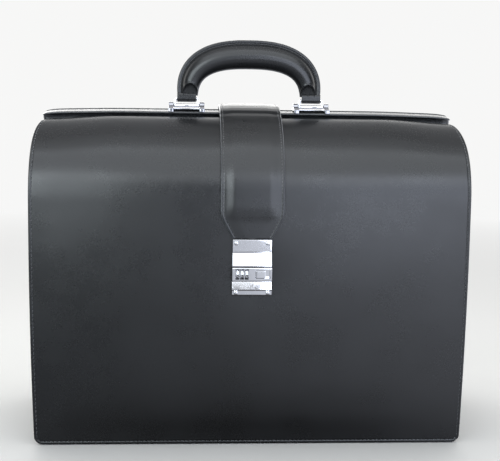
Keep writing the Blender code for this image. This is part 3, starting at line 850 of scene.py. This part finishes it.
def grip_section(r, near):
    """(outward, across) points of the roll with its stitched flange, clockwise from the tip."""
    tip = r + FLANGE_H * (1 - 0.35 * (1 - ease(near / 0.0035)))
    t = FLANGE_T
    side = [(tip, 0.0), (tip - 0.0002, t * 0.55), (tip - 0.0008, t * 0.92), (tip - 0.0016, t),
            (tip - 0.0028, t), (tip - 0.0033, t - 0.0003), (tip - 0.0037, t - 0.0005),
            (tip - 0.0041, t - 0.0003), (tip - 0.0046, t + 0.0002)]
    a0 = 0.30
    side.append((r * math.cos(a0) + 0.0003, r * math.sin(a0) - 0.0004))
    for k in range(1, 30):
        a = a0 + (math.pi - a0) * k / 30
        side.append((r * math.cos(a), r * math.sin(a)))
    return side + [(-r, 0.0)] + [(u, -v) for u, v in side[1:][::-1]]


def build_grip():
    """The sewn roll, with notched flanges and flattened suede ends where the tabs go in."""
    rings, inside, lines = [], [], {1: [], -1: []}
    for p, out, up, near in grip_frames(400):
        r = 0.0083 + 0.0044 * up
        ring = []
        for u, v in grip_section(r, near):
            q = math.sqrt((u / 0.0079) ** 2 + (near / 0.0122) ** 2)
            flat = 0.0032 + 0.0004 * math.cos(u * 900)
            if abs(v) > flat and abs(u) < 0.0082:
                k = ease((1.03 - q) / 0.16)
                v = math.copysign(abs(v) * (1 - k) + flat * k, v)
            lip = 0.0006 * math.exp(-((q - 1.10) / 0.07) ** 2) * (1 if abs(v) > 0.003 else 0)
            v += math.copysign(lip, v)
            ring.append(tuple(p + u * out + v * ACROSS))
            inside.append(q < 1.0 and abs(v) > 0.0028)
        rings.append(ring)
        tip = r + FLANGE_H
        if near > 0.0025:
            for sgn in (1, -1):
                lines[sgn].append(tuple(p + (tip - 0.0037) * out
                                        + sgn * (FLANGE_T - 0.0006) * ACROSS))
    verts, faces, _ = skin_rings(rings)
    shape = (verts, faces, [2 if all(inside[i] for i in f) else 0 for f in faces])
    for sgn, pts in lines.items():
        shape = join(shape, stitch_run(pts, [(0, sgn, 0)] * len(pts), *FINE_THREAD), 1)
    roll = make("handle_roll", shape, [STRAP_CALF, THREAD, SUEDE], "handle",
                ("handle_grip", "handle_core"))


build_grip()


def build_tab(end, e):
    """The flat leather end of the roll, folded round the ring's upper bar and stitched."""
    cx, tz = e * RING_X, SWING_Z + 0.0074
    w, r_out = 0.0101, 0.0038
    loop = []
    for k in range(17):
        a = math.pi + math.pi * k / 16
        loop.append((r_out * math.cos(a), tz + r_out * math.sin(a)))
    outer = [(-0.0034, 0.3572), (-0.0036, 0.3550)] + loop + [(0.0036, 0.3550), (0.0034, 0.3572)]
    rings = []
    lat = graded(2 * w, 0.0003, 0.0016, 0.0012) - w
    for x in lat:
        d = w - abs(x)
        k = float(rounded(0.0009, d))
        ring = []
        for y, z in outer:
            yy = y - math.copysign(k, y) if abs(y) > 1e-6 else 0.0
            zz = z + (k if z < tz - 0.001 else 0)
            yy -= math.copysign(0.00022 * math.exp(-((z - 0.3535) / 0.0005) ** 2), y)
            ring.append((cx + x, SWING_Y + yy, zz))
        rings.append(ring)
    shape = skin_rings(rings)
    for sgn in (1, -1):
        pts = [(cx + x, SWING_Y - sgn * 0.0035, 0.3535) for x in np.linspace(-0.0085, 0.0085, 8)]
        shape = join(shape, stitch_run(pts, [(0, -sgn, 0)] * 8, *TAB_THREAD), 1)
    make(f"handle_tab_{end}_leather", shape, [STRAP_CALF, THREAD], "handle",
         (f"handle_tab_{end}",))


def build_ring(end, e):
    """A rounded wire loop whose lower bar is a barrel with a pivot at each end."""
    cx = e * RING_X
    wide, tall, r, corner = 0.0120, 0.0074, 0.0014, 0.0024
    path = []
    for qx, qz, a0 in ((1, 1, 0), (-1, 1, 90), (-1, 0, 180), (1, 0, 270)):
        ox, oz = qx * (wide - corner), (tall - corner) if qz else corner
        for step in range(9):
            a = math.radians(a0 + 90 * step / 8)
            path.append((ox + corner * math.cos(a), oz + corner * math.sin(a)))
    rings = []
    for i, (px, pz) in enumerate(path):
        qx, qz = path[(i + 1) % len(path)]
        bx, bz = path[i - 1]
        t = Vector((qx - bx, 0, qz - bz)).normalized()
        out = Vector((t.z, 0, -t.x))
        c = Vector((cx + px, SWING_Y, SWING_Z + pz))
        rings.append([tuple(c + r * (math.cos(b) * out + math.sin(b) * ACROSS))
                      for b in turns(20)])
    prof = [(-0.0186, 0.0011), (-0.0183, 0.0015), (-0.0134, 0.0015), (-0.0133, 0.0019),
            (-0.0129, 0.0022), (-0.0122, 0.0023), (-0.0118, 0.0020)]
    rod = [[(cx + x, SWING_Y + q * math.cos(a), SWING_Z + q * math.sin(a))
            for a in turns(28)] for x, q in mirrored(prof)]
    make(f"handle_ring_{end}_chrome", join(skin_rings(rings, closed=True), skin_rings(rod), 0),
         [CHROME], "handle", (f"handle_ring_{end}",))


for end, e in ENDS:
    build_tab(end, e)
    build_ring(end, e)
    # the mounts take the rougher chrome whose darkened tint is painted shade
    refine(f"handle_mount_{end}", "rear_half", 0.00035, DIMMED_DULL_CHROME)


# ---- lock
def fillet(poly, r, n=3):
    """Rounds the corners of a (y, z) outline."""
    out = []
    for i, p in enumerate(poly):
        p = Vector(p)
        a, b = Vector(poly[i - 1]) - p, Vector(poly[(i + 1) % len(poly)]) - p
        d = min(r, a.length * 0.45, b.length * 0.45)
        a, b = p + a.normalized() * d, p + b.normalized() * d
        for k in range(n + 1):
            t = k / n
            out.append(tuple(a * (1 - t) ** 2 + p * 2 * t * (1 - t) + b * t * t))
    return out


def inset(poly, d):
    """The same outline moved d inwards."""
    area = sum(a[0] * b[1] - b[0] * a[1] for a, b in zip(poly, poly[1:] + poly[:1]))
    sign = 1 if area > 0 else -1
    out = []
    for i, p in enumerate(poly):
        a, b = Vector(poly[i - 1]), Vector(poly[(i + 1) % len(poly)])
        t = (b - a).normalized()
        out.append((p[0] - sign * t.y * d, p[1] + sign * t.x * d))
    return out


def prism(poly, x0, x1, r=0.0002, corner=0.0006):
    """A (y, z) outline extruded along X with its corners and its ends eased."""
    poly = fillet(poly, corner)
    rings = []
    for k in range(4):
        a = math.pi / 2 * k / 3
        rings.append((x0 + r * (1 - math.cos(a)), inset(poly, r * (1 - math.sin(a)))))
    rings += [(x0 + x1 - x, q) for x, q in rings[::-1]]
    return skin_rings([[(x, y, z) for y, z in q] for x, q in rings])


def carve(ob, boxes):
    """Cuts plain boxes, given as (low corner, high corner), out of a piece."""
    tools = []
    for lo, hi in boxes:
        poly = [(lo[1], lo[2]), (hi[1], lo[2]), (hi[1], hi[2]), (lo[1], hi[2])]
        tool = make("cutter", skin_rings([[(x, y, z) for y, z in poly] for x in (lo[0], hi[0])]), [])
        m = ob.modifiers.new("cut", "BOOLEAN")
        m.operation, m.solver, m.object = "DIFFERENCE", "EXACT", tool
        tools.append(tool)
    graph = bpy.context.evaluated_depsgraph_get()
    graph.update()
    mesh = bpy.data.meshes.new_from_object(ob.evaluated_get(graph))
    ob.modifiers.clear()
    ob.data = mesh
    for tool in tools:
        bpy.data.objects.remove(tool, do_unlink=True)


def crisp(ob):
    """Smooth shading on the eased edges only; the flats stay flat."""
    bm = bmesh.new()
    bm.from_mesh(ob.data)
    for f in bm.faces:
        f.smooth = True
    for x in bm.edges:
        x.smooth = len(x.link_faces) == 2 and x.calc_face_angle(0) <= 0.6
    bm.to_mesh(ob.data)
    bm.free()
    m = ob.modifiers.new("flats", "WEIGHTED_NORMAL")
    m.keep_sharp = True
    m.weight = 100


def lock_half(node, body, outline, half, boxes):
    """One chrome half of the lock, cut out for what sits in it."""
    ob = make(f"{node}_chrome", prism(outline, -half, half), [CHROME])
    carve(ob, boxes)
    crisp(ob)
    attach(ob, body)
    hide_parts(node)


BACK = -HALF_D - 0.0031
hasp = [(BACK, 0.1854), (BACK - 0.0064, 0.1854), (BACK - 0.0068, 0.1862), (BACK - 0.0026, 0.1992),
        (BACK - 0.0026, 0.2122), (BACK, 0.2122)]
panel = ((-0.0179, -0.11, 0.2004), (0.0179, BACK - 0.0017, 0.2109))
lock_half("hasp_plate", "strap_flap", hasp, 0.0195, [panel])

FACE = -HALF_D - 0.0003
case = [(FACE, 0.1562), (-0.0970, 0.1562), (-0.0978, 0.1570), (-0.0978, 0.1614), (-0.0990, 0.1621),
        (-0.0965, 0.1705), (-0.1000, 0.1713), (-0.1000, 0.1838), (-0.0992, 0.1846),
        (FACE - 0.0022, 0.1846), (FACE - 0.0022, 0.1966), (FACE, 0.1966)]
windows = [((x - 0.0020, -0.105, LOCK_Z - 0.0054), (x + 0.0020, -0.091, LOCK_Z + 0.0054))
           for x in DIAL_XS]
slide_slot = ((0.0032, -0.105, 0.1737), (0.0182, -0.0933, 0.1817))
tongue_slot = ((-0.0030, -0.096, 0.1876), (0.0030, -0.085, 0.1947))
lock_half("lock_case", "box", case, 0.0198, windows + [slide_slot, tongue_slot])


def build_button():
    """The slide's thumb piece, with five upright ribs for grip."""
    x0, x1, z0, z1, back, face, rings = 0.0037, 0.0137, 0.1742, 0.1812, -0.0937, -0.1004, []
    base = fillet([(back, z0), (face, z0), (face, z1), (back, z1)], 0.0005)
    xs = [(x0, 0.0004), (x0 + 0.0001, 0.0002), (x0 + 0.0004, 0.0)]
    ribs = []
    for k in range(5):
        c = x0 + 0.0022 + k * 0.0014
        ribs += [(c - 0.0005, 0.0, 0.0), (c - 0.0003, 0.0, 0.0003), (c + 0.0003, 0.0, 0.0003),
                 (c + 0.0005, 0.0, 0.0)]
    rows = [(x, i, 0.0) for x, i in xs] + ribs + [(x0 + x1 - x, i, 0.0) for x, i in xs[::-1]]
    for x, i, up in rows:
        ring = []
        for y, z in inset(base, i):
            on_face = y < face + 0.0009 and min(z - z0, z1 - z) > 0.0007
            ring.append((x, y - (up if on_face else 0.0), z))
        rings.append(ring)
    crisp(make("slide_button_chrome", skin_rings(rings), [CHROME], "lock_slide",
               ("slide_button",)))


build_button()
refine("lock_bolt", "lock_slide", 0.00015)
refine("lock_back_plate", "box", 0.00025)
refine("dial_axle", "box", 0.0)
spring = refine("lock_spring", "box", 0.0)
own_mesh(spring)


def build_rivet(node, body, x, z, face, head):
    """A low square-shouldered rivet head with a domed top, and its shank."""
    rings = []
    for y, r in ((face + 0.0009, head * 0.5), (face - 0.00002, head * 0.5), (face - 0.00004, head),
                 (face - 0.0005, head), (face - 0.0008, head * 0.9), (face - 0.00105, head * 0.6),
                 (face - 0.00112, head * 0.2)):
        k = min(max((-y + face) / 0.0009, 0), 1)
        ring = []
        for a in turns(32):
            c, s = math.cos(a), math.sin(a)
            sq = (abs(c) ** 5 + abs(s) ** 5) ** (-1 / 5)
            rr = r * (sq * (1 - 0.7 * k) + 0.7 * k)
            ring.append((x + rr * c, y, z + rr * s))
        rings.append(ring)
    make(f"{node}_head", skin_rings(rings), [CHROME], body, (node,))


PLATE_FACE, RIM_FACE = -0.0949, -0.0978
for end, e in ENDS:
    build_rivet(f"hasp_rivet_{end}", "strap_flap", e * 0.0158, 0.2085, PLATE_FACE, 0.0020)
    build_rivet(f"case_rivet_{end}", "box", e * 0.0160, 0.1591, RIM_FACE, 0.0020)


def digit_mesh(char):
    """Vertices and faces of a numeral, centred, upright in (x, z), raised along -y."""
    text = bpy.data.curves.new("digit", "FONT")
    text.body = char
    text.size = 0.0030
    text.extrude = 0.00004
    text.align_x, text.align_y = "CENTER", "CENTER"
    text.resolution_u = 3
    ob = add_object("digit", text)
    graph = bpy.context.evaluated_depsgraph_get()
    mesh = bpy.data.meshes.new_from_object(ob.evaluated_get(graph))
    verts = [(v.co.x, -v.co.z, v.co.y) for v in mesh.vertices]
    faces = [tuple(f.vertices) for f in mesh.polygons]
    bpy.data.objects.remove(ob, do_unlink=True)
    bpy.data.curves.remove(text)
    bpy.data.meshes.remove(mesh)
    return verts, faces


DIGITS = [digit_mesh(str(i)) for i in range(10)]


def build_dial(i, cx):
    """A bored number wheel: ten flats with filled numerals between two knurled rims."""
    half, r_bore, r_face, r_rim, fit = 0.0017, 0.00112, 0.00462, 0.0049, 0.72
    prof = [(-half, r_bore), (-half, r_rim - 0.0002), (-half + 0.0002, r_rim),
            (-half + 0.0005, r_rim), (-half + 0.0007, r_face)]
    rings = []
    for x, r in mirrored(prof):
        ring = []
        for j, a in enumerate(turns(120)):
            rr = r
            if r > r_face + 0.0001:
                rr = r - (0.00016 if j % 4 < 2 else 0.0)
            elif r > 0.004:
                f = (a / (math.pi / 5)) % 1 - 0.5
                rr = r * math.cos(math.pi / 10) / math.cos(f * math.pi / 5)
            ring.append((cx + x, DIAL_Y + rr * math.cos(a), LOCK_Z + rr * math.sin(a)))
        rings.append(ring)
    shape = skin_rings(rings, closed=True)
    for k in range(10):
        a = 2 * math.pi * (k + 0.5) / 10 + math.pi
        out = Vector((0, math.cos(a), math.sin(a)))
        up = Vector((0, out.z, -out.y))
        near = r_face * math.cos(math.pi / 10)
        points, polygons = DIGITS[(k + 3 * i) % 10]
        placed = [tuple(Vector((cx, DIAL_Y, LOCK_Z)) + Vector((x, 0, 0)) * fit
                        + out * (near - y) + up * z * fit) for x, y, z in points]
        shape = join(shape, (placed, polygons), 1)
    make(f"dial_{i}_wheel", shape, [CHROME, DARK_FILL], f"dial_{i}", (f"dial_{i}",))


for i, x in enumerate(DIAL_XS):
    build_dial(i + 1, x)

# ---- steel inside
for name, side in SIDES:
    refine(f"{name}_frame", f"{name}_half", 0.0003)
    for end, e in ENDS:
        refine(f"{name}_{end}_pin", "box", 0.0002)
for end, e in ENDS:
    refine(f"{end}_stay", "box", 0.0003)


# ---- floor, light and camera
def floor_paint():
    """Pale to look at; in reflections dark close to the bag, as a table's edge would be."""
    p = Paint("pale_floor")
    seen = p.is_camera_ray()
    pale = p.mix(p.spread(p.noise(3.0), 0.0, 1.0, 0.3, 0.7), (0.300, 0.300, 0.296),
                 (0.292, 0.292, 0.288))
    p.put("Base Color", p.mix(seen, (0.022, 0.017, 0.013), pale))
    p.put("Roughness", 0.6)
    p.put("Specular IOR Level", 0.2)
    # further off it fades into the backdrop's tone, or for reflections into the room's
    room = p.mix(p.spread(p.split(p.coord)["X"], 0.0, 1.0, -0.25, 0.45), (0.30, 0.32, 0.35),
                 (0.95, 0.99, 1.10))
    glow = p.node("ShaderNodeEmission")
    p.link(p.mix(seen, room, BACKDROP), glow.inputs["Color"])
    away = p.node("ShaderNodeVectorMath", operation="LENGTH")
    p.link(p.coord, away.inputs[0])
    away = away.outputs["Value"]
    fade = p.node("ShaderNodeMix", data_type="FLOAT")
    join = p.node("ShaderNodeMixShader")
    for a, b in ((seen, fade.inputs[0]), (p.spread(away, 0.0, 1.0, 0.15, 0.40), fade.inputs[2]),
                 (p.spread(away, 0.0, 1.0, 0.35, 2.2), fade.inputs[3]),
                 (fade.outputs[0], join.inputs[0]), (p.bsdf.outputs[0], join.inputs[1]),
                 (glow.outputs[0], join.inputs[2]),
                 (join.outputs[0], p.tree.nodes["Material Output"].inputs["Surface"])):
        p.link(a, b)
    return p.mat


BACKDROP = (0.93, 0.93, 0.925)
GREY_ROOM = (0.50, 0.51, 0.53)


def build_world():
    """A plain backdrop for the camera; for light, a dim room with a bright wall behind."""
    world = bpy.data.worlds.new("studio")
    bpy.context.scene.world = world
    world.use_nodes = True
    w = Nodes(world.node_tree)
    place = w.split(w.node("ShaderNodeTexCoord").outputs["Generated"])
    ceiling = w.mix(w.spread(place["Z"], 0.0, 1.0, 0.20, 0.60), (0.12, 0.125, 0.135), GREY_ROOM)
    wall = w.mix(w.spread(place["Z"], 0.0, 1.0, 0.28, 0.68), (2.2, 2.2, 2.17), GREY_ROOM)
    room = w.mix(w.spread(place["Y"], 0.0, 1.0, -0.05, 0.35), ceiling, wall)
    shown = w.tree.nodes["Background"].inputs
    w.link(w.mix(w.is_camera_ray(), room, BACKDROP), shown["Color"])
    shown["Strength"].default_value = 1.0


def studio():
    """The floor disc, the world and the lamps."""
    disc = bmesh.new()
    bmesh.ops.create_circle(disc, cap_ends=True, segments=96, radius=40.0)
    mesh = bpy.data.meshes.new("floor")
    disc.to_mesh(mesh)
    disc.free()
    mesh.materials.append(floor_paint())
    add_object("floor", mesh)
    build_world()

    def lamp(name, at, to, size, power, color, spread=180, shine=True):
        data = bpy.data.lights.new(name, "AREA")
        data.shape = "RECTANGLE"
        data.size, data.size_y = size
        data.energy = power
        data.color = color
        data.spread = math.radians(spread)
        ob = add_object(name, data)
        ob.location = at
        ob.rotation_euler = (Vector(to) - Vector(at)).to_track_quat("-Z", "Y").to_euler()
        ob.visible_camera = False
        ob.visible_glossy = shine

    # low panels light the upright faces, strip and upper the sloping ones, crest the top
    cool, cold, warm = (0.86, 0.95, 1.0), (0.78, 0.85, 1.0), (1.0, 0.99, 0.97)
    lamp("low_left", (-0.95, -1.30, 0.59), (-0.87, 0, 0.57), (1.35, 0.90), 18.0, cool)
    lamp("low_right", (0.78, -1.30, 0.52), (0.70, 0, 0.51), (1.35, 0.94), 12.0, cold)
    lamp("strip", (0.0, -2.2, 1.34), (0, 0, 0.2), (2.6, 0.60), 7.0, (0.90, 0.95, 1.0))
    lamp("upper", (0.1, -1.10, 1.75), (0.1, 0, 0.30), (2.6, 1.30), 17.5, (0.88, 0.94, 1.0))
    lamp("crest", (0.1, -0.35, 2.05), (0.1, 0, 0.30), (2.6, 1.00), 4.0, (0.90, 0.95, 1.0))
    lamp("overhead", (0.0, 0.2, 1.8), (0, 0.0, 0.0), (1.8, 1.4), 50, warm, 150, shine=False)
    lamp("back", (-0.5, 2.2, 0.8), (0, 0, 0.2), (2.0, 1.0), 10, warm)
    bpy.context.scene.view_settings.view_transform = "Standard"


def camera():
    """A little left of the bag and above it, turned by under a degree."""
    data = bpy.data.cameras.new("camera")
    data.sensor_width = 36
    data.lens = 72
    data.clip_start = 0.05
    ob = add_object("camera", data)
    eye = Vector((-0.0628, -1.080, 0.3440))
    aim = Vector((-0.0022, -0.090, 0.2208))
    turn = (aim - eye).to_track_quat("-Z", "Y").to_matrix().to_4x4()
    roll = Matrix.Rotation(math.radians(0.82), 4, "Z")
    ob.matrix_world = Matrix.Translation(eye) @ turn @ roll
    bpy.context.scene.camera = ob


studio()
camera()
